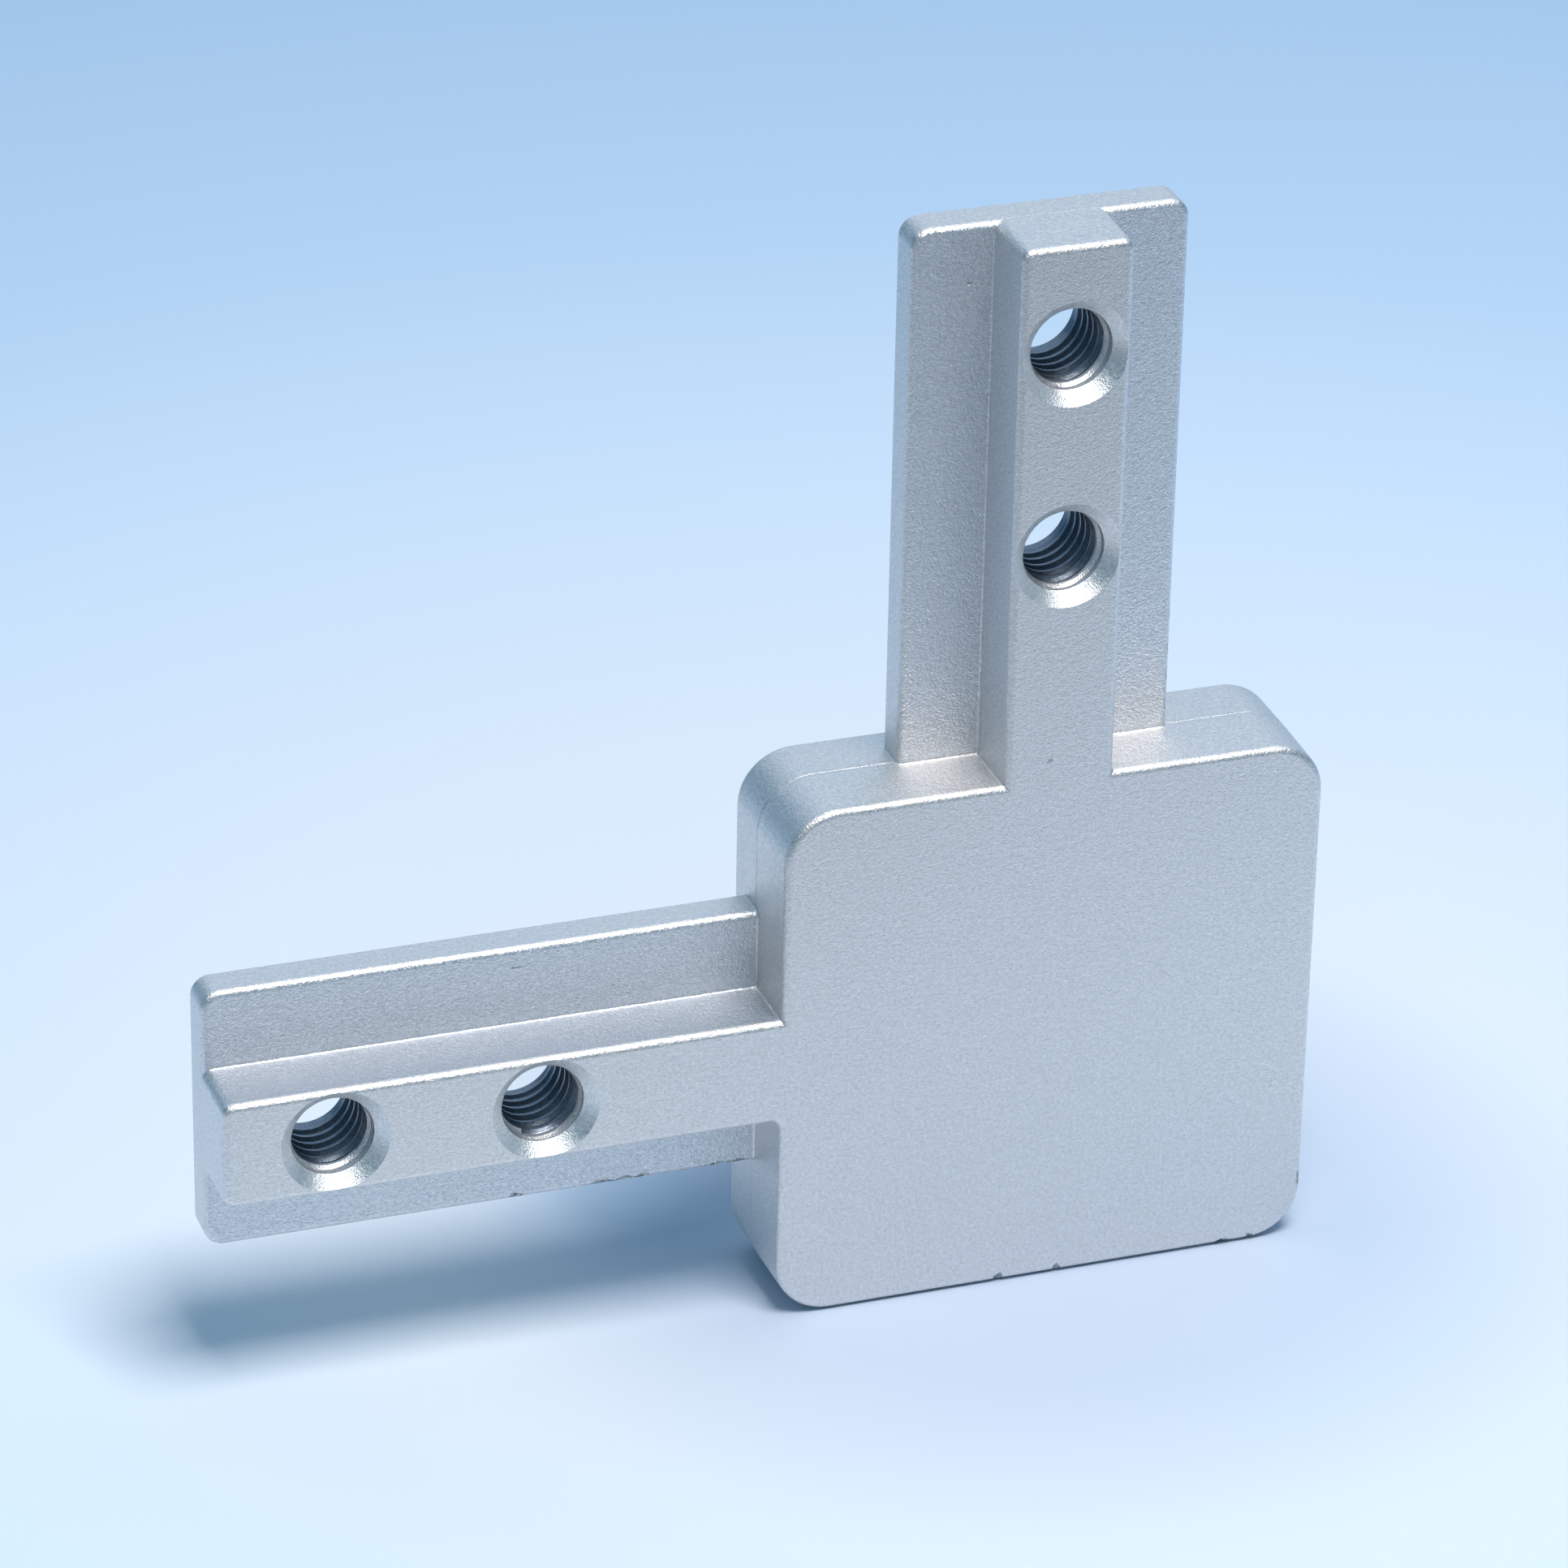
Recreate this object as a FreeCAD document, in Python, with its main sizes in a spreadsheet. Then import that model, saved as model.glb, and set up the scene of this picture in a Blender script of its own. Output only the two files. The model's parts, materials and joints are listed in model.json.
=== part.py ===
import FreeCAD, Part
import math
import os
import Sketcher

# Three way corner connector for slotted 40 mm profile: one zinc die casting.
# X points right, Y from the front face to the back, Z up; sizes are in millimetres.
# The square head stands on its lower side, and the middle of that side is the origin.
# One arm leaves the head upwards, one to the left and one backwards, along the right side.
# Each arm is a T bar: a narrow rib, level with the outside of the head, on a wide flange.

NODE = "corner_connector"

SIZES = {
    # square head
    "head_side": 40.0,
    "head_depth": 10.5,
    "head_corner": 4.0,
    # T bar of an arm
    "arm_length": 40.0,
    "rib_width": 8.2,
    "rib_depth": 5.2,
    "rib_corner": 0.9,
    "flange_width": 20.0,
    "flange_depth": 3.0,
    "flange_corner": 1.4,
    # draft in degrees, from the parting plane to the outside of head and ribs
    "draft_angle": 1.2,
    # tapped holes: the bore is the core of the thread, the mouth is on the flange's back
    "bore_width": 5.0,
    "sink_width": 7.7,
    "sink_angle": 90.0,
    "mouth_width": 5.9,
    "end_to_hole": 8.0,
    "hole_pitch": 15.0,
    # radius of the cast edges and inner corners, and the bevel round the back of a flange
    "edge_round": 0.35,
    "flange_bevel": 0.3,
}

# Each arm: the origin plane that it lies along, where the middle of its root is on that plane,
# how far out the outside of its rib is, and how far the arm is turned from the plane's upright.
HALF_SIDE = "sizes.head_side / 2"
HALF_DEPTH = "sizes.head_depth / 2"
ARMS = {
    "upper": ("XZ_Plane", "0", "sizes.head_side", HALF_DEPTH, 0),
    "left": ("XZ_Plane", f"-{HALF_SIDE}", HALF_SIDE, HALF_DEPTH, 90),
    "rear": ("YZ_Plane", HALF_DEPTH, HALF_SIDE, HALF_SIDE, -90),
}

# Faces that turn by more than this where they meet make an edge to round.
SHARP = math.radians(60)
# Points nearer to each other than this are in the same place.
TOUCHING = 0.001

doc = FreeCAD.newDocument(NODE)
sheet = doc.addObject("Spreadsheet::Sheet", "sizes")
for row, (alias, value) in enumerate(SIZES.items(), start=1):
    sheet.set(f"A{row}", alias)
    sheet.set(f"B{row}", str(value))
    sheet.setAlias(f"B{row}", alias)
body = doc.addObject("PartDesign::Body", "casting")
body.Label = NODE
doc.recompute()


def origin_plane(role):
    for feature in body.Origin.OriginFeatures:
        if feature.Role == role:
            return feature
    raise LookupError(role)


def sketch_on(name, role, across, up, out, turn=0):
    """A sketch parallel to an origin plane: moved by three expressions, then turned in its plane."""
    sketch = body.newObject("Sketcher::SketchObject", name)
    sketch.AttachmentSupport = [(origin_plane(role), "")]
    sketch.MapMode = "FlatFace"
    rotation = FreeCAD.Rotation(FreeCAD.Vector(0, 0, 1), turn)
    sketch.AttachmentOffset = FreeCAD.Placement(FreeCAD.Vector(), rotation)
    sketch.setExpression("AttachmentOffset.Base.x", across)
    sketch.setExpression("AttachmentOffset.Base.y", up)
    sketch.setExpression("AttachmentOffset.Base.z", out)
    return sketch


def bind(sketch, constraint, name, expression):
    """Adds one named dimension to a sketch and ties it to the sheet."""
    index = sketch.addConstraint(constraint)
    sketch.renameConstraint(index, name)
    sketch.setExpression(f"Constraints.{name}", expression)


def round_cornered_box(sketch, width, above, below, corner):
    """A rectangle with round corners, centred on the sketch's upright axis.

    width, above, below and corner are expressions: its full width, how far it reaches above and
    below the level axis, and its corner radius. The numbers here only start the solver.
    """
    half, high, low, curve = 10, 30, 5, 2
    line_ends = [
        ((curve - half, -low), (half - curve, -low)),
        ((half, curve - low), (half, high - curve)),
        ((half - curve, high), (curve - half, high)),
        ((-half, high - curve), (-half, curve - low)),
    ]
    for start, end in line_ends:
        line = Part.LineSegment(FreeCAD.Vector(*start), FreeCAD.Vector(*end))
        sketch.addGeometry(line, False)
    arc_centres = [
        (half - curve, curve - low),
        (half - curve, high - curve),
        (curve - half, high - curve),
        (curve - half, curve - low),
    ]
    for quarter, centre in enumerate(arc_centres, start=-1):
        circle = Part.Circle(FreeCAD.Vector(*centre), FreeCAD.Vector(0, 0, 1), curve)
        start, end = (math.pi / 2 * turn for turn in (quarter, quarter + 1))
        sketch.addGeometry(Part.ArcOfCircle(circle, start, end), False)
    relation = Sketcher.Constraint
    for line in range(4):
        arc = line + 4
        following = (line + 1) % 4
        sketch.addConstraint(relation("Tangent", line, 2, arc, 1))
        sketch.addConstraint(relation("Tangent", arc, 2, following, 1))
        sketch.addConstraint(relation("Vertical" if line % 2 else "Horizontal", line))
        if line:
            sketch.addConstraint(relation("Equal", 4, arc))
    bind(sketch, relation("Radius", 4, curve), "corner", corner)
    bind(sketch, relation("DistanceX", 3, 1, 1, 2, 2 * half), "width", width)
    bind(sketch, relation("DistanceX", -1, 1, 1, 2, half), "half_width", f"{width} / 2")
    bind(sketch, relation("DistanceY", -1, 1, 2, 1, high), "above", above)
    bind(sketch, relation("DistanceY", 0, 1, 2, 1, high + low), "height", f"{above} + {below}")


def hole_places(sketch):
    """Two bores on the middle line of an arm. The numbers here only start the solver."""
    outer, inner, radius = 30, 15, 2
    for height in (outer, inner):
        circle = Part.Circle(FreeCAD.Vector(0, height), FreeCAD.Vector(0, 0, 1), radius)
        number = sketch.addGeometry(circle, False)
        sketch.addConstraint(Sketcher.Constraint("PointOnObject", number, 3, -2))
    sketch.addConstraint(Sketcher.Constraint("Equal", 0, 1))
    bind(sketch, Sketcher.Constraint("Diameter", 0, 2 * radius), "bore", "sizes.bore_width")
    from_root = "sizes.arm_length - sizes.end_to_hole"
    bind(sketch, Sketcher.Constraint("DistanceY", -1, 1, 0, 3, outer), "outer_hole", from_root)
    bind(sketch, Sketcher.Constraint("DistanceY", 1, 3, 0, 3, outer - inner), "pitch", "sizes.hole_pitch")


def pad(name, sketch, depth, inwards=False):
    """Thickens a sketch: outwards with the draft, or inwards without it."""
    feature = body.newObject("PartDesign::Pad", name)
    feature.Profile = sketch
    feature.Reversed = inwards
    feature.setExpression("Length", depth)
    if not inwards:
        feature.setExpression("TaperAngle", "-sizes.draft_angle")
    return feature


def middle_of(edge):
    return edge.valueAt((edge.FirstParameter + edge.LastParameter) / 2)


def is_sharp(shape, edge):
    """Whether the outward normals of the two faces that meet at an edge differ enough."""
    faces = shape.ancestorsOfType(edge, Part.Face)
    if len(faces) != 2:
        return False
    middle = middle_of(edge)
    first, second = (face.normalAt(*face.Surface.parameter(middle)) for face in faces)
    return first.getAngle(second) > SHARP


def is_flange_back(edge, outline):
    """Whether an edge runs round the back of the flange with this outline, outside the head."""
    place = outline.Placement.inverse().multVec(middle_of(edge))
    depth = sheet.get("flange_depth")
    return abs(place.z + depth) < TOUCHING and place.y > TOUCHING


def is_mouth(shape, edge):
    """Whether an edge is the rim of a bore on a flat face."""
    surfaces = {type(face.Surface) for face in shape.ancestorsOfType(edge, Part.Face)}
    return edge.isClosed() and surfaces == {Part.Plane, Part.Cylinder}


def dress(kind, name, size_name, expression, wanted):
    """Rounds or bevels the edges of the casting so far that a test picks."""
    base = body.Tip
    shape = base.Shape
    feature = body.newObject(kind, name)
    picked = [f"Edge{n}" for n, edge in enumerate(shape.Edges, start=1) if wanted(shape, edge)]
    feature.Base = (base, picked)
    feature.setExpression(size_name, expression)
    doc.recompute()
    return feature


# Head: the parting plane lies where rib and flange meet.
head = sketch_on("head_outline", "XZ_Plane", "0", "0", f"{HALF_DEPTH} - sizes.rib_depth")
round_cornered_box(head, "sizes.head_side", "sizes.head_side", "0", "sizes.head_corner")
pad("head_front", head, "sizes.rib_depth")
pad("head_back", head, "sizes.head_depth - sizes.rib_depth", inwards=True)

# Arms: rib and flange are both sketched on the parting plane and reach down into the head.
flange_outlines = []
for arm, (role, across, up, outside, turn) in ARMS.items():
    parting = f"{outside} - sizes.rib_depth"
    rib = sketch_on(f"{arm}_rib_outline", role, across, up, parting, turn)
    round_cornered_box(rib, "sizes.rib_width", "sizes.arm_length", "sizes.head_corner", "sizes.rib_corner")
    pad(f"{arm}_rib", rib, "sizes.rib_depth")
    flange = sketch_on(f"{arm}_flange_outline", role, across, up, parting, turn)
    round_cornered_box(
        flange, "sizes.flange_width", "sizes.arm_length", "sizes.head_corner", "sizes.flange_corner"
    )
    pad(f"{arm}_flange", flange, "sizes.flange_depth", inwards=True)
    flange_outlines.append(flange)
doc.recompute()

# A bevel round the back of each flange leads it into the slot. The rounding then runs unbroken
# round every other edge of the casting, inner corners too.
dress(
    "PartDesign::Chamfer", "flange_bevels", "Size", "sizes.flange_bevel",
    lambda shape, edge: any(is_flange_back(edge, outline) for outline in flange_outlines),
)
dress("PartDesign::Fillet", "cast_rounding", "Radius", "sizes.edge_round", is_sharp)

# Holes: countersunk in the outside of the rib, where the sink runs into the rounded edges.
for arm, (role, across, up, outside, turn) in ARMS.items():
    places = sketch_on(f"{arm}_hole_places", role, across, up, outside, turn)
    hole_places(places)
    holes = body.newObject("PartDesign::Hole", f"{arm}_holes")
    holes.Profile = places
    doc.recompute()
    holes.Threaded = False
    holes.DepthType = "ThroughAll"
    holes.HoleCutType = "Countersink"
    holes.HoleCutCustomValues = True
    holes.setExpression("Diameter", "sizes.bore_width")
    holes.setExpression("HoleCutDiameter", "sizes.sink_width")
    holes.setExpression("HoleCutCountersinkAngle", "sizes.sink_angle")
    doc.recompute()
dress(
    "PartDesign::Chamfer", "bore_mouths", "Size", "(sizes.mouth_width - sizes.bore_width) / 2", is_mouth
)

for item in doc.Objects:
    if "Invalid" in item.State or "Error" in item.State:
        raise RuntimeError(f"{item.Name} failed: {item.getStatusString()}")
casting = body.Shape
if casting.isNull() or not casting.isValid() or len(casting.Solids) != 1:
    raise RuntimeError(f"{NODE} is not one valid solid")

os.makedirs("parts", exist_ok=True)
casting.exportStep(f"parts/{body.Label}.step")
print(f"{NODE}: {casting.Volume:.1f} cubic mm, {len(casting.Faces)} faces")
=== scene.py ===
import json
import math
import random

import bmesh
import bpy
from mathutils import Matrix, Vector, noise


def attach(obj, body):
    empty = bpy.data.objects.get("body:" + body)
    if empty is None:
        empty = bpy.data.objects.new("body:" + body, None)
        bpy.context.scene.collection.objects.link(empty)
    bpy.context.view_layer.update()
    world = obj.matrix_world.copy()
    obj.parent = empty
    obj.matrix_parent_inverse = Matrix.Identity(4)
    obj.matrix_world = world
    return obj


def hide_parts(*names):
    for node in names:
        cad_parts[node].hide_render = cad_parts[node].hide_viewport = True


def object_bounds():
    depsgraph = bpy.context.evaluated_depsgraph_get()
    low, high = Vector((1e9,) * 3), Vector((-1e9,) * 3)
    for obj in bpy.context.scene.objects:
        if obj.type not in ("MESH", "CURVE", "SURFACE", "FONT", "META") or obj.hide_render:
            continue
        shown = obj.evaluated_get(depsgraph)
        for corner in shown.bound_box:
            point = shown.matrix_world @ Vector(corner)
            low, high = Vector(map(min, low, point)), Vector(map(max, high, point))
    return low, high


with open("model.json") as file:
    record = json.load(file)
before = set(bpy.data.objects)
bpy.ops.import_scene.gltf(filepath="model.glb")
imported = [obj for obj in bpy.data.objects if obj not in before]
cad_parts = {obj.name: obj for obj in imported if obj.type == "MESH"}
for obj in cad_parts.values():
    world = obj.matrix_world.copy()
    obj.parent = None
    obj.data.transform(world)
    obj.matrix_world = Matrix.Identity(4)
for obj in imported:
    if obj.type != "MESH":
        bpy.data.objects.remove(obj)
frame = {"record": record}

# A zinc corner connector on a pale studio floor: a square head with three T-shaped arms.
# Everything is in metres: X to the right, Y from the front face to the back, Z up, the floor at 0.

MM = 0.001
CAD_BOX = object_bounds()
NODE = "corner_connector"
SEED = 7

# Head and arms. Depths are measured from the outside of the head or of a rib, along its normal;
# an arm starts at ROOT, inside the head, and its rib ends inside its flange at the depth RIB_FOOT.
FRONT = CAD_BOX[0][1]
BACK = -FRONT
RIGHT = CAD_BOX[1][0]
HEAD_HALF = 20 * MM
HEAD_DEPTH = BACK - FRONT
HEAD_CORNER = 4 * MM
ARM_LENGTH = 40 * MM
ARM_DEPTH = 8.2 * MM
RIB_HALF = 4.1 * MM
RIB_DEPTH = 5.2 * MM
RIB_CORNER = 0.9 * MM
RIB_FOOT = 7 * MM
FLANGE_HALF = 10 * MM
FLANGE_CORNER = 1.4 * MM
FLANGE_BEVEL = 0.3 * MM
DRAFT = RIB_DEPTH * math.tan(math.radians(1.2))
ROOT = -HEAD_CORNER
ARC_STEPS = 12

# Edges: outer edges are rounded more than inner corners, and the parting line is a fine groove.
# SUNK is how far one block reaches into the next.
EDGE_ROUND = 0.5 * MM
INNER_ROUND = 0.16 * MM
ROUND_STEPS = 6
SUNK = 0.25 * MM
PARTING = 5.75 * MM
PARTING_WIDTH = 0.13 * MM
PARTING_DEPTH = 0.06 * MM
# How far a rib flares out where it meets the head, below or left of it and above or right of it
FEET = {"upper": (0.2 * MM, 0.2 * MM), "left": (0.8 * MM, 0.2 * MM), "rear": (0.4 * MM, 0.4 * MM)}

# Tapped holes: M6 with a pitch of 1 mm. A cone leads in from the rib's side, and the crests of the
# thread fade out at both ends. The cut is bright down to LIT_DEPTH and darker below it, with
# painted shade deep in the hole.
PITCH = 1.0 * MM
MAJOR = 2.97 * MM
MINOR = 2.74 * MM
SINK = 3.88 * MM
THREAD_START = 1.05 * MM
THREAD_END = 7.75 * MM
RUNOUT = 0.6 * MM
LIT_DEPTH = 2.0 * MM
OVERRUN = 0.6 * MM
TURN_STEPS = 72
# Fractions of the pitch, with how far the groove has opened there
GROOVE = [
    (0.0, 0.0), (0.14, 0.0), (0.2, 0.06), (0.5, 0.92),
    (0.57, 1.0), (0.63, 1.0), (0.7, 0.92), (0.94, 0.06),
]

# Chips, pits and scratches where the photograph shows them: middle and half sizes in millimetres
SCARS = [
    ((-3.2, -5.15, 0.3), (0.4, 0.3, 0.4)),
    ((1.2, -5.15, 0.3), (0.35, 0.25, 0.45)),
    ((14.0, -5.1, 0.2), (0.6, 0.35, 0.4)),
    ((16.1, -5.15, 0.25), (0.35, 0.3, 0.35)),
    ((18.9, -5.15, 1.2), (0.4, 0.3, 0.45)),
    ((19.75, -5.05, 4.6), (0.3, 0.25, 0.6)),
    ((-37.6, 0.0, 10.2), (0.5, 0.3, 0.35)),
    ((-31.3, 0.0, 10.15), (0.9, 0.35, 0.4)),
    ((-29.6, 0.05, 10.15), (0.9, 0.3, 0.3)),
    ((-28.2, 0.0, 10.15), (0.5, 0.3, 0.35)),
    ((-22.4, 0.0, 10.15), (0.8, 0.35, 0.35)),
    ((-21.0, 0.05, 10.15), (0.6, 0.3, 0.3)),
    ((9.95, 0.1, 41.6), (0.2, 0.35, 0.5)),
    ((9.95, 0.05, 43.9), (0.15, 0.3, 0.4)),
    ((9.95, 0.1, 46.2), (0.2, 0.3, 0.5)),
    ((9.95, 0.1, 48.8), (0.15, 0.3, 0.4)),
    ((-5.8, -0.09, 75.7), (0.22, 0.1, 0.26)),
    ((5.1, -0.07, 77.0), (0.14, 0.08, 0.14)),
    ((-0.8, -5.31, 41.5), (0.32, 0.08, 0.32)),
    ((-37.6, -0.06, 28.5), (0.45, 0.08, 0.1)),
]
# A scar's outline: how much it swells and shrinks, how quickly that changes along it, and how far
# apart the scars may lie in the noise that shapes them
JAGGED = 0.55
JAGS = 2.2
SPREAD = 50

# Points nearer than WELD are one, and faces that turn by less than COPLANAR become one
WELD = MM * 1e-3
COPLANAR = math.radians(0.1)

# Shading: faces that meet at less than SMOOTH look rounded. Those that turn by less than LEVEL lie
# in one flat, if it is wider than FLAT_WIDTH.
SMOOTH = math.radians(40)
LEVEL = math.radians(0.5)
FLAT_WIDTH = 1.2 * MM

# The casting's materials, in the order of its slots: the skin and three recess materials, darker
# with painted shade. A face is in a recess if its normal points across or outwards by UPRIGHT or
# more and it lies within NEAR of the recess.
SKIN, UPPER_RECESS, FLANGE_RECESS, RIB_RECESS = range(4)
UPRIGHT = 0.9
NEAR = 0.15 * MM

# The photograph's view: TARGET is in the middle of the picture
TARGET = Vector((-20.16, -5.25, 42.66)) * MM
AZIMUTH = math.radians(-19.5)
ELEVATION = math.radians(27.5)
ROLL = math.radians(1.12)
DISTANCE = 496.6 * MM
FOCAL_PIXELS = 9000
PICTURE_PIXELS = 1932
SENSOR = 36.0

# A noise field mostly lies between these. Colour and gloss are mottled at these sizes.
FIELD = (0.3, 0.7)
MOTTLE = 0.25 * MM
GLOSS = 0.3 * MM

# Floor: the middles of its painted pool of light, of the painted shade round the head's foot and of
# the painted shade behind the left arm's root; where the painted shade in front begins and is full,
# and its far edge
FLOOR_RADIUS = 6.0
POOL = (0.0, 0.03, 0.0)
FOOT = (0.003, 0.003, 0.0)
NOOK_SHADE = (-0.024, 0.014, 0.0)
FRONT_SHADE = (-0.05, -0.065)
FRONT_SHADE_END = -0.2

# Lights: the way to the bright wall behind the object, and the softbox above it, to the front
WALL = (0.27, 0.75, 0.6)
KEY_PLACE = (0.03, -0.2, 0.6)
KEY_AIM = (-0.01, 0.0, 0.02)
KEY_SIZE = (0.26, 0.22)
KEY_POWER = 3.68
KEY_COLOUR = (1.0, 0.96, 0.95)

rng = random.Random(SEED)


# Meshes

def mesh_object(name, mesh):
    piece = bpy.data.objects.new(name, mesh)
    bpy.context.scene.collection.objects.link(piece)
    return piece


def from_bmesh(name, form):
    mesh = bpy.data.meshes.new(name)
    form.to_mesh(mesh)
    form.free()
    return mesh_object(name, mesh)


def apply_modifiers(piece):
    """Bakes the modifiers of an object into its mesh."""
    graph = bpy.context.evaluated_depsgraph_get()
    baked = bpy.data.meshes.new_from_object(piece.evaluated_get(graph), depsgraph=graph)
    piece.modifiers.clear()
    piece.data = baked


def groove_depth(fraction):
    """How far the thread's groove has opened, from 0 to 1, at a fraction of the pitch."""
    stops = GROOVE + [(1.0, 0.0)]
    for (low, before), (high, after) in zip(stops, stops[1:]):
        if fraction <= high:
            return before + (after - before) * (fraction - low) / (high - low)
    return 0.0


def crest_height(depth):
    """How high the thread's crest is at a depth, from 0 at both ends to 1."""
    rise = min(depth - THREAD_START, THREAD_END - depth) / RUNOUT
    return min(max(rise, 0.0), 1.0)


def bore_radius(turn, depth):
    """The threaded bore's radius at a fraction of a turn and a depth below the rib's outside."""
    groove = groove_depth((depth / PITCH - turn) % 1.0)
    return MAJOR - (MAJOR - MINOR) * (1 - groove) * crest_height(depth)


def bore_cutter(form, mouth, axis, start):
    """Adds the closed solid that cuts one tapped hole, from its mouth on the rib inwards."""
    side = axis.orthogonal().normalized()
    up = axis.cross(side)
    places = {}

    def vertex(step, depth, radius=None):
        key = (step % TURN_STEPS, round(depth / MM, 5))
        if key not in places:
            if radius is None:
                radius = bore_radius(key[0] / TURN_STEPS, depth)
            angle = 2 * math.pi * (key[0] / TURN_STEPS + start)
            spoke = side * math.cos(angle) + up * math.sin(angle)
            places[key] = form.verts.new(mouth - axis * depth + spoke * radius)
        return places[key]

    def skin(corners, depth):
        corners = [c for i, c in enumerate(corners) if c not in corners[:i]]
        if len(corners) > 2:
            # Faces below LIT_DEPTH take the dark second slot: painted shade deep in the hole.
            form.faces.new(corners).material_index = 0 if depth < LIT_DEPTH else 1

    def thread_depth(step, row):
        return min(max(row + step / TURN_STEPS * PITCH, THREAD_START), THREAD_END)

    def threaded(low, high):
        for step in range(TURN_STEPS):
            ends = [(step, low), (step + 1, low), (step + 1, high), (step, high)]
            ends = [(at, thread_depth(at, row)) for at, row in ends]
            skin([vertex(at, depth) for at, depth in ends], sum(depth for _, depth in ends) / 4)

    def ring(depths, radii):
        for step in range(TURN_STEPS):
            ends = [(step, 0), (step + 1, 0), (step + 1, 1), (step, 1)]
            skin([vertex(at, depths[end], radii[end]) for at, end in ends], depths[0])

    # two more turns at each end, so that the helix fills the thread's whole length all round
    turns = range(int(THREAD_START / PITCH) - 2, int(THREAD_END / PITCH) + 2)
    rows = [(turn + fraction) * PITCH for turn in turns for fraction, _ in GROOVE]
    for low, high in zip(rows, rows[1:]):
        threaded(low, high)
    cone_end = SINK - MAJOR
    ring((THREAD_START, cone_end), (MAJOR, MAJOR))
    ring((cone_end, -OVERRUN), (MAJOR, SINK + OVERRUN))
    ring((THREAD_END, ARM_DEPTH + OVERRUN), (MAJOR, MAJOR))
    for depth in (-OVERRUN, ARM_DEPTH + OVERRUN):
        form.faces.new([vertex(step, depth) for step in range(TURN_STEPS)])


def tapped_holes():
    """One mesh with the cutters of all tapped holes, at the model's mounts."""
    form = bmesh.new()
    for mount in frame["record"]["mounts"]:
        if mount["kind"] != "threaded_hole":
            continue
        axis = Vector(mount["axis"])
        mouth = Vector(mount["pos_m"])
        if axis.y < 0:
            mouth.y = FRONT
        else:
            mouth.x = RIGHT
        bore_cutter(form, mouth, axis, rng.random())
    bmesh.ops.recalc_face_normals(form, faces=form.faces)
    return from_bmesh("hole_cutters", form)


def flats_of(form):
    """For each face of a mesh in a wide flat, the flat's normal, or None on rounded strips."""
    flats = {}
    for seed in form.faces:
        if seed in flats:
            continue
        found = {seed}
        waiting = [seed]
        while waiting:
            for edge in waiting.pop().edges:
                for face in edge.link_faces:
                    if face not in found and face.normal.angle(seed.normal, math.pi) < LEVEL:
                        found.add(face)
                        waiting.append(face)
        area = sum(face.calc_area() for face in found)
        rim = sum(
            edge.calc_length() for face in found for edge in face.edges
            if not all(other in found for other in edge.link_faces)
        )
        wide = rim > 0 and 2 * area / rim > FLAT_WIDTH
        for face in found:
            flats[face] = seed.normal.copy() if wide else None
    return flats


def shade(mesh):
    """Sets the normals: flats stay flat up to their edges, and strips round off between them."""
    form = bmesh.new()
    form.from_mesh(mesh)
    form.normal_update()
    flats = flats_of(form)
    normals = []
    for face in form.faces:
        for loop in face.loops:
            around = [
                other for other in loop.vert.link_faces
                if other.normal.angle(face.normal, math.pi) < SMOOTH
            ]
            level = [flats[other] for other in around if flats[other] is not None]
            if flats[face] is not None:
                normal = flats[face]
            elif level:
                normal = min(level, key=lambda way: way.angle(face.normal))
            else:
                weighted = (other.normal * other.calc_area() for other in around)
                normal = sum(weighted, Vector()).normalized()
            normals.append(normal.copy())
        face.smooth = True
    form.to_mesh(mesh)
    form.free()
    mesh.normals_split_custom_set(normals)


def arc(centre, radius, start, end, steps=ARC_STEPS):
    """Points on an arc between two angles in quarter turns."""
    across, up = centre
    angles = [(start + (end - start) * step / steps) * math.pi / 2 for step in range(steps + 1)]
    return [(across + radius * math.cos(angle), up + radius * math.sin(angle)) for angle in angles]


def outline(half, low, high, corner):
    """The points of a round-cornered rectangle, centred across."""
    inner = half - corner
    return (
        arc((inner, low + corner), corner, -1, 0) + arc((inner, high - corner), corner, 0, 1)
        + arc((-inner, high - corner), corner, 1, 2) + arc((-inner, low + corner), corner, 2, 3)
    )


def rib_outline(half, base, high, corner, feet):
    """The points of a rib: round corners at its end, and a flare at each side of its root."""
    inner = half - corner
    left, right = feet
    return (
        [(half + right, ROOT)]
        + arc((half + right, base + right), right, -1, -2, ROUND_STEPS)
        + arc((inner, high - corner), corner, 0, 1) + arc((-inner, high - corner), corner, 1, 2)
        + arc((-half - left, base + left), left, 0, -1, ROUND_STEPS)
        + [(-half - left, ROOT)]
    )


def quarter(radius):
    """A quarter round as (depth, inset) pairs, from a face's edge to the side next to it."""
    angles = [step / ROUND_STEPS * math.pi / 2 for step in range(ROUND_STEPS + 1)]
    return [(radius * (1 - math.cos(angle)), radius * (1 - math.sin(angle))) for angle in angles]


def drafted(depth):
    """How far the draft moves a side in at a depth above the parting plane."""
    return DRAFT * (1 - depth / RIB_DEPTH)


def block(place, rings):
    """A closed solid through outlines at depths below the outside of a head or an arm."""
    form = bmesh.new()
    loops = [[form.verts.new(place(u, v, depth)) for u, v in points] for depth, points in rings]
    for near, far in zip(loops, loops[1:]):
        for here in range(len(near)):
            there = (here + 1) % len(near)
            form.faces.new((near[here], near[there], far[there], far[here]))
    form.faces.new(loops[0])
    form.faces.new(loops[-1])
    bmesh.ops.recalc_face_normals(form, faces=form.faces)
    return from_bmesh("block", form)


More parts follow.
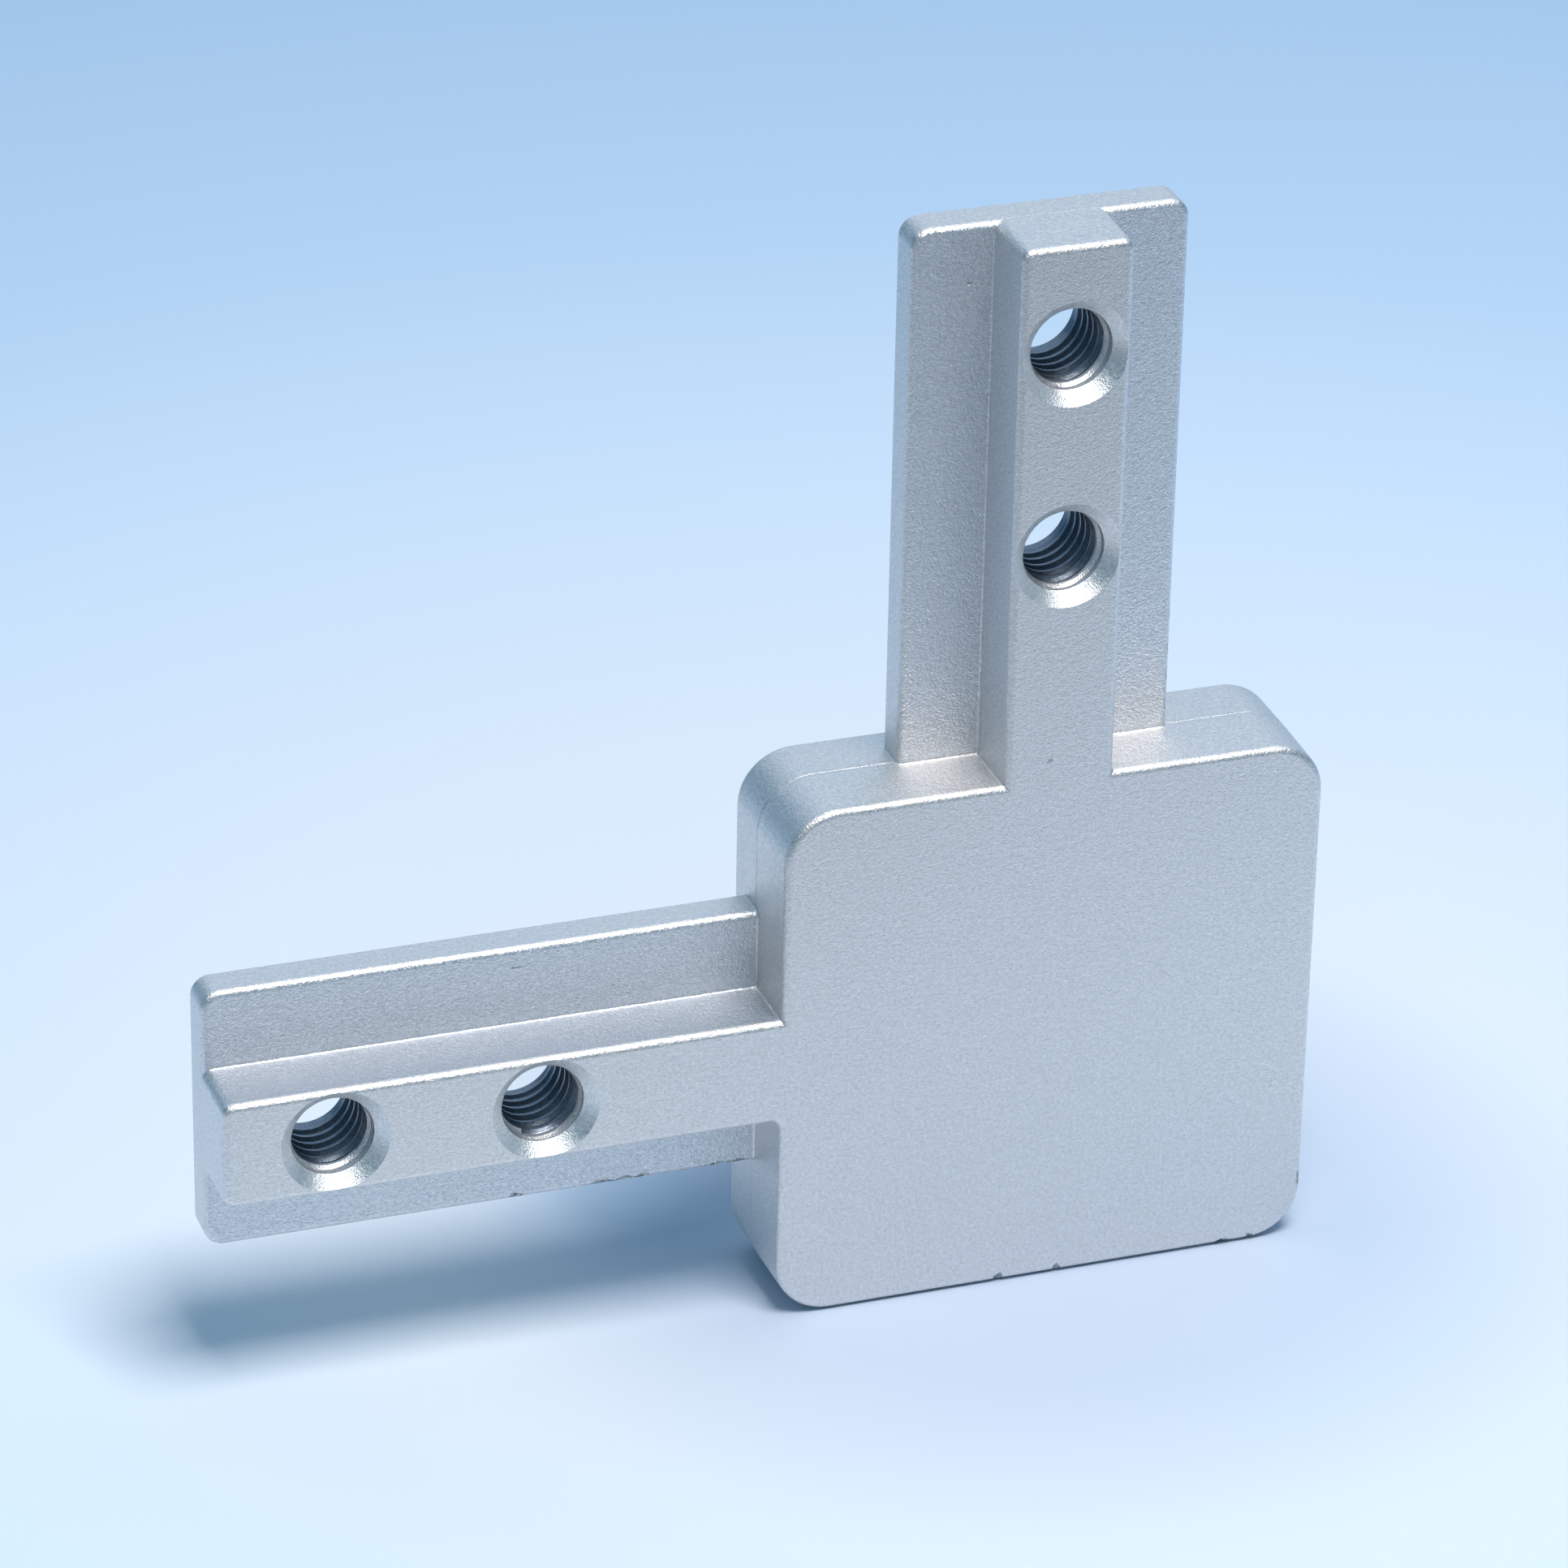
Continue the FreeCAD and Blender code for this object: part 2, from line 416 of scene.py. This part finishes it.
def head_block():
    """The head: a drafted front half, a straight back half and a fine groove where they part."""
    def ring(depth, inset):
        return depth, outline(HEAD_HALF - inset, inset, 2 * HEAD_HALF - inset, HEAD_CORNER - inset)

    rings = [ring(depth, inset + drafted(depth)) for depth, inset in quarter(EDGE_ROUND)]
    rings += [ring(RIB_DEPTH, 0), ring(PARTING - PARTING_WIDTH, 0), ring(PARTING, PARTING_DEPTH)]
    rings += [ring(PARTING + PARTING_WIDTH, 0)]
    rings += [ring(HEAD_DEPTH - depth, inset) for depth, inset in reversed(quarter(EDGE_ROUND))]
    return block(lambda across, along, depth: (across, FRONT + depth, along), rings)


def arm_blocks(place, feet):
    """A T bar: rib, flange and the flange's collar at the head."""
    def rib(depth, inset, flare=0.0):
        base = -inset if depth < RIB_DEPTH else 0.0
        corner = RIB_CORNER - inset + flare
        return depth, rib_outline(RIB_HALF - inset + flare, base, ARM_LENGTH - inset, corner, feet)

    def flange(depth, inset):
        return depth, outline(FLANGE_HALF - inset, ROOT, ARM_LENGTH - inset, FLANGE_CORNER - inset)

    def collar(along, grown):
        low, high = RIB_DEPTH - grown, ARM_DEPTH + grown
        return along, outline(FLANGE_HALF + grown, low, high, EDGE_ROUND + grown)

    inner = quarter(INNER_ROUND)
    ribs = [rib(depth, inset + drafted(depth)) for depth, inset in quarter(EDGE_ROUND)]
    ribs += [rib(RIB_DEPTH - rise, drafted(RIB_DEPTH - rise), flare) for flare, rise in inner]
    ribs += [rib(RIB_DEPTH + SUNK, 0, INNER_ROUND), rib(RIB_FOOT, RIB_CORNER / 2)]
    flanges = [flange(RIB_DEPTH + depth, inset) for depth, inset in quarter(EDGE_ROUND)]
    flanges += [flange(ARM_DEPTH - FLANGE_BEVEL, 0), flange(ARM_DEPTH, FLANGE_BEVEL)]
    collars = [collar(-SUNK, INNER_ROUND)] + [collar(rise, grown) for rise, grown in inner]
    collars += [collar(INNER_ROUND + SUNK, -SUNK / 2)]
    return [
        block(place, ribs),
        block(place, flanges),
        block(lambda across, depth, along: place(across, along, depth), collars),
    ]


def solid_casting():
    """Head and arms in one solid."""
    def on_upper(across, along, depth):
        return across, FRONT + depth, 2 * HEAD_HALF + along

    def on_left(across, along, depth):
        return -HEAD_HALF - along, FRONT + depth, HEAD_HALF + across

    def on_rear(across, along, depth):
        return RIGHT - depth, BACK + along, HEAD_HALF + across

    piece = head_block()
    piece.name = "casting"
    for name, place in (("upper", on_upper), ("left", on_left), ("rear", on_rear)):
        for part in arm_blocks(place, FEET[name]):
            boolean(piece, part, "UNION")
    return piece


def boolean(piece, part, operation):
    """Joins a part to a piece or cuts it out, and keeps the materials of both."""
    step = piece.modifiers.new("step", "BOOLEAN")
    step.object = part
    step.operation = operation
    step.solver = "EXACT"
    step.material_mode = "TRANSFER"
    apply_modifiers(piece)
    bpy.data.objects.remove(part)


def skin_of(face):
    """Which material a face of the casting has: the recesses beside each rib have their own, darker
    with painted shade.
    """
    x, y, z = face.calc_center_median()
    normal = face.normal
    for beyond, across, inwards, beside, outwards, on_flange, on_rib in (
        (z - 2 * HEAD_HALF, x, y - FRONT, normal.x, -normal.y, UPPER_RECESS, UPPER_RECESS),
        (-HEAD_HALF - x, z - HEAD_HALF, y - FRONT, normal.z, -normal.y, FLANGE_RECESS, RIB_RECESS),
        (y - BACK, z - HEAD_HALF, RIGHT - x, normal.z, normal.x, FLANGE_RECESS, RIB_RECESS),
    ):
        if beyond <= 2 * NEAR:
            continue
        beside_rib = EDGE_ROUND < inwards < RIB_DEPTH and abs(across) < RIB_HALF + NEAR
        if abs(beside) > UPRIGHT and beside_rib:
            return on_rib
        if outwards > UPRIGHT and abs(inwards - RIB_DEPTH) < NEAR:
            return on_flange
    return SKIN


def level_faces(piece):
    """Makes one face of all in one plane, so that none is needle-thin, and picks materials."""
    form = bmesh.new()
    form.from_mesh(piece.data)
    bmesh.ops.remove_doubles(form, verts=form.verts, dist=WELD)
    bmesh.ops.dissolve_limit(form, angle_limit=COPLANAR, verts=form.verts, edges=form.edges)
    form.normal_update()
    for face in form.faces:
        face.material_index = skin_of(face)
    form.to_mesh(piece.data)
    form.free()


def scar(place, size):
    """The jagged cutter of one chip, pit or scratch."""
    form = bmesh.new()
    bmesh.ops.create_icosphere(form, subdivisions=3, radius=1.0)
    shift = Vector((rng.random(), rng.random(), rng.random())) * SPREAD
    for vertex in form.verts:
        swell = 1 + JAGGED * noise.noise(vertex.co * JAGS + shift)
        vertex.co = (Vector(place) + vertex.co * Vector(size) * swell) * MM
    return from_bmesh("scar", form)


def casting():
    """The whole casting with its real threads cut in."""
    piece = solid_casting()
    piece.data.materials.clear()
    for material in (
        skin_material(),
        # The recess materials' darker colours are painted shade.
        shaded_recess_material("zinc_recess_shade_upper", (0.64, 0.65, 0.675), (0.86, 0.875, 0.9)),
        shaded_recess_material("zinc_recess_shade_flange", (0.6, 0.62, 0.65), (0.82, 0.84, 0.87)),
        shaded_recess_material("zinc_recess_shade_rib", (0.5, 0.52, 0.56), (0.68, 0.705, 0.755)),
    ):
        piece.data.materials.append(material)
    level_faces(piece)
    # The scars' darker grey is partly painted shade.
    broken_and_shaded = scar_material()
    for place, size in SCARS:
        cutter = scar(place, size)
        cutter.data.materials.append(broken_and_shaded)
        boolean(piece, cutter, "DIFFERENCE")
    cutters = tapped_holes()
    cutters.data.materials.append(machined_material())
    # The second slot, deep in the holes, is darker: painted shade.
    cutters.data.materials.append(shaded_thread_material())
    boolean(piece, cutters, "DIFFERENCE")
    shade(piece.data)
    return piece


# Materials

def nodes_of(material):
    material.use_nodes = True
    tree = material.node_tree
    tree.nodes.clear()
    return tree


def noise_field(tree, place, size, detail=2.0, roughness=0.5):
    """Noise whose features are about this many metres across."""
    field = tree.nodes.new("ShaderNodeTexNoise")
    field.inputs["Scale"].default_value = 1 / size
    field.inputs["Detail"].default_value = detail
    field.inputs["Roughness"].default_value = roughness
    tree.links.new(place, field.inputs["Vector"])
    return field.outputs["Fac"]


def ramp(tree, value, stops):
    """A colour ramp through (position, colour) stops."""
    node = tree.nodes.new("ShaderNodeValToRGB")
    marks = node.color_ramp.elements
    while len(marks) < len(stops):
        marks.new(1.0)
    for mark, (position, colour) in zip(marks, stops):
        mark.position = position
        mark.color = (*colour, 1.0)
    tree.links.new(value, node.inputs["Fac"])
    return node.outputs["Color"]


def distance_from(tree, place, centre):
    """How far a place is from a centre."""
    node = tree.nodes.new("ShaderNodeVectorMath")
    node.operation = "DISTANCE"
    node.inputs[1].default_value = centre
    tree.links.new(place, node.inputs[0])
    return node.outputs["Value"]


def between(tree, value, start, end, low=0.0, high=1.0):
    """Maps a value from one range onto another."""
    node = tree.nodes.new("ShaderNodeMapRange")
    node.inputs["From Min"].default_value = start
    node.inputs["From Max"].default_value = end
    node.inputs["To Min"].default_value = low
    node.inputs["To Max"].default_value = high
    tree.links.new(value, node.inputs["Value"])
    return node.outputs["Result"]


def bump(tree, height, distance, before=None):
    """A normal bent by a height field, on top of the one before it."""
    node = tree.nodes.new("ShaderNodeBump")
    node.inputs["Strength"].default_value = 1.0
    node.inputs["Distance"].default_value = distance
    tree.links.new(height, node.inputs["Height"])
    if before is not None:
        tree.links.new(before, node.inputs["Normal"])
    return node.outputs["Normal"]


def multiplied(tree, first, second):
    """Two colours multiplied."""
    node = tree.nodes.new("ShaderNodeVectorMath")
    node.operation = "MULTIPLY"
    tree.links.new(first, node.inputs[0])
    tree.links.new(second, node.inputs[1])
    return node.outputs["Vector"]


def metal(name, dark, light, rough, grains):
    """Bare zinc: a mottled colour, uneven gloss and grains given as (size, height) pairs."""
    material = bpy.data.materials.new(name)
    tree = nodes_of(material)
    place = tree.nodes.new("ShaderNodeTexCoord").outputs["Object"]
    shader = tree.nodes.new("ShaderNodeBsdfPrincipled")
    output = tree.nodes.new("ShaderNodeOutputMaterial")
    tree.links.new(shader.outputs["BSDF"], output.inputs["Surface"])
    shader.inputs["Metallic"].default_value = 1.0
    mottle = noise_field(tree, place, MOTTLE, detail=4, roughness=0.75)
    tree.links.new(ramp(tree, mottle, list(zip(FIELD, (dark, light)))), shader.inputs["Base Color"])
    gloss = noise_field(tree, place, GLOSS, detail=3, roughness=0.7)
    tree.links.new(between(tree, gloss, *FIELD, *rough), shader.inputs["Roughness"])
    normal = None
    for size, height in grains:
        normal = bump(tree, noise_field(tree, place, size, detail=1), height, normal)
    tree.links.new(normal, shader.inputs["Normal"])
    return material


def skin_material():
    """Tumbled casting skin: matt, with a fine grain that sparkles."""
    return metal(
        "zinc_skin",
        dark=(0.68, 0.66, 0.65), light=(0.915, 0.885, 0.872), rough=(0.4, 0.58),
        grains=[
            (3 * MM, 0.02 * MM), (0.4 * MM, 0.025 * MM),
            (0.16 * MM, 0.034 * MM), (0.08 * MM, 0.018 * MM),
        ],
    )


def shaded_recess_material(name, dark, light):
    """The skin between rib and flange, where tumbling hardly reached: coarser, and darker with
    painted shade.
    """
    return metal(
        name, dark, light, rough=(0.4, 0.58),
        grains=[
            (3 * MM, 0.02 * MM), (0.4 * MM, 0.032 * MM),
            (0.16 * MM, 0.05 * MM), (0.08 * MM, 0.022 * MM),
        ],
    )


def machined_material():
    """Cut zinc in the holes: brighter, with short tool marks."""
    return metal(
        "zinc_cut",
        dark=(0.72, 0.72, 0.73), light=(0.95, 0.95, 0.95), rough=(0.36, 0.54),
        grains=[(0.13 * MM, 0.03 * MM), (0.06 * MM, 0.014 * MM)],
    )


def scar_material():
    """Broken skin: a darker grey, partly the dull inside of the casting and partly painted shade in
    the chips.
    """
    return metal(
        "zinc_scar",
        dark=(0.44, 0.45, 0.47), light=(0.68, 0.69, 0.71), rough=(0.45, 0.7),
        grains=[(0.15 * MM, 0.03 * MM)],
    )


def shaded_thread_material():
    """Cut zinc deep in the holes: dull and dark with painted shade, where little light reaches."""
    return metal(
        "zinc_thread_shade",
        dark=(0.15, 0.18, 0.22), light=(0.28, 0.32, 0.37), rough=(0.3, 0.45),
        grains=[(0.16 * MM, 0.012 * MM)],
    )


# Stage, lights and camera

def floor():
    """A round pale floor with painted light and shade: whiter near the object in a painted pool of
    light, bluer further back, and darker in front with painted shade.
    """
    form = bmesh.new()
    bmesh.ops.create_circle(form, cap_ends=True, radius=FLOOR_RADIUS, segments=96)
    piece = from_bmesh("floor", form)
    material = bpy.data.materials.new("floor_paper")
    tree = nodes_of(material)
    place = tree.nodes.new("ShaderNodeTexCoord").outputs["Object"]
    shader = tree.nodes.new("ShaderNodeBsdfPrincipled")
    output = tree.nodes.new("ShaderNodeOutputMaterial")
    shader.inputs["Roughness"].default_value = 0.75
    shader.inputs["Specular IOR Level"].default_value = 0.2
    # The paper's pale blue with a painted pool of light: whiter near the object, darker and bluer
    # further out.
    paper_and_painted_light = ramp(tree, distance_from(tree, place, POOL), [
        (0.0, (0.73, 0.77, 0.83)),
        (0.05, (0.75, 0.8, 0.85)),
        (0.1, (0.68, 0.79, 0.91)),
        (0.16, (0.57, 0.73, 0.91)),
        (0.23, (0.53, 0.71, 0.9)),
        (0.6, (0.48, 0.64, 0.84)),
    ])
    # Painted shade round the head's foot.
    shaded = ramp(tree, distance_from(tree, place, FOOT), [
        (0.0, (0.7, 0.76, 0.86)),
        (0.024, (0.74, 0.8, 0.89)),
        (0.045, (1.0, 1.0, 1.0)),
    ])
    # Painted shade behind the left arm's root.
    nook_shade = ramp(tree, distance_from(tree, place, NOOK_SHADE), [
        (0.0, (0.66, 0.78, 0.86)),
        (0.004, (0.68, 0.79, 0.87)),
        (0.0105, (1.0, 1.0, 1.0)),
    ])
    paper_and_painted_light = multiplied(tree, paper_and_painted_light, multiplied(tree, shaded, nook_shade))
    # Painted shade in front: a darker band of floor towards the front, which the metal's front
    # faces reflect.
    behind = tree.nodes.new("ShaderNodeVectorMath")
    behind.operation = "DOT_PRODUCT"
    behind.inputs[1].default_value = (-math.sin(AZIMUTH), math.cos(AZIMUTH), 0.0)
    tree.links.new(place, behind.inputs[0])
    front_shade = ramp(tree, between(tree, behind.outputs["Value"], 0.0, FRONT_SHADE_END), [
        (0.27, (0.84, 0.85, 0.87)),
        (0.4, (0.54, 0.56, 0.605)),
        (0.5, (0.385, 0.4, 0.445)),
        (0.65, (0.28, 0.295, 0.325)),
        (1.0, (0.22, 0.23, 0.25)),
    ])
    colour = tree.nodes.new("ShaderNodeMix")
    colour.data_type = "RGBA"
    share, first, second = colour.inputs[0], colour.inputs[6], colour.inputs[7]
    tree.links.new(between(tree, behind.outputs["Value"], *FRONT_SHADE), share)
    tree.links.new(paper_and_painted_light, first)
    tree.links.new(front_shade, second)
    tree.links.new(colour.outputs[2], shader.inputs["Base Color"])
    tree.links.new(shader.outputs["BSDF"], output.inputs["Surface"])
    piece.data.materials.append(material)


def softbox(name, place, aim, size, power, colour):
    """A rectangular lamp that points at its aim."""
    lamp = bpy.data.lights.new(name, "AREA")
    lamp.shape = "RECTANGLE"
    lamp.size, lamp.size_y = size
    lamp.energy = power
    lamp.color = colour
    piece = bpy.data.objects.new(name, lamp)
    bpy.context.scene.collection.objects.link(piece)
    piece.location = place
    piece.rotation_euler = (Vector(aim) - Vector(place)).to_track_quat("-Z", "Y").to_euler()


def lights():
    """A dim studio with a bright wall behind the object, and one softbox above it, to the front."""
    world = bpy.data.worlds.new("studio")
    bpy.context.scene.world = world
    tree = nodes_of(world)
    direction = tree.nodes.new("ShaderNodeTexCoord").outputs["Generated"]
    facing = tree.nodes.new("ShaderNodeVectorMath")
    facing.operation = "DOT_PRODUCT"
    facing.inputs[1].default_value = Vector(WALL).normalized()
    tree.links.new(direction, facing.inputs[0])
    walls = ramp(tree, facing.outputs["Value"], [
        (0.0, (0.06, 0.18, 0.26)),
        (0.35, (0.06, 0.19, 0.28)),
        (0.6, (0.09, 0.22, 0.35)),
        (0.85, (0.49, 0.66, 0.85)),
    ])
    background = tree.nodes.new("ShaderNodeBackground")
    output = tree.nodes.new("ShaderNodeOutputWorld")
    tree.links.new(walls, background.inputs["Color"])
    tree.links.new(background.outputs["Background"], output.inputs["Surface"])
    softbox("key", KEY_PLACE, KEY_AIM, KEY_SIZE, KEY_POWER, KEY_COLOUR)


def camera():
    """The photograph's view, turned upright by ROLL."""
    lens = bpy.data.cameras.new("camera")
    lens.sensor_width = SENSOR
    lens.lens = SENSOR * FOCAL_PIXELS / PICTURE_PIXELS
    lens.clip_start = 0.01
    piece = bpy.data.objects.new("camera", lens)
    bpy.context.scene.collection.objects.link(piece)
    bpy.context.scene.camera = piece
    level = math.cos(ELEVATION)
    back = Vector((math.sin(AZIMUTH) * level, -math.cos(AZIMUTH) * level, math.sin(ELEVATION)))
    look = (-back).to_track_quat("-Z", "Y").to_matrix().to_4x4()
    turn = Matrix.Rotation(ROLL, 4, "Z")
    piece.matrix_world = Matrix.Translation(TARGET + back * DISTANCE) @ look @ turn


piece = casting()
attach(piece, "root")
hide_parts(NODE)
floor()
lights()
camera()
bpy.context.scene.view_settings.view_transform = "Standard"
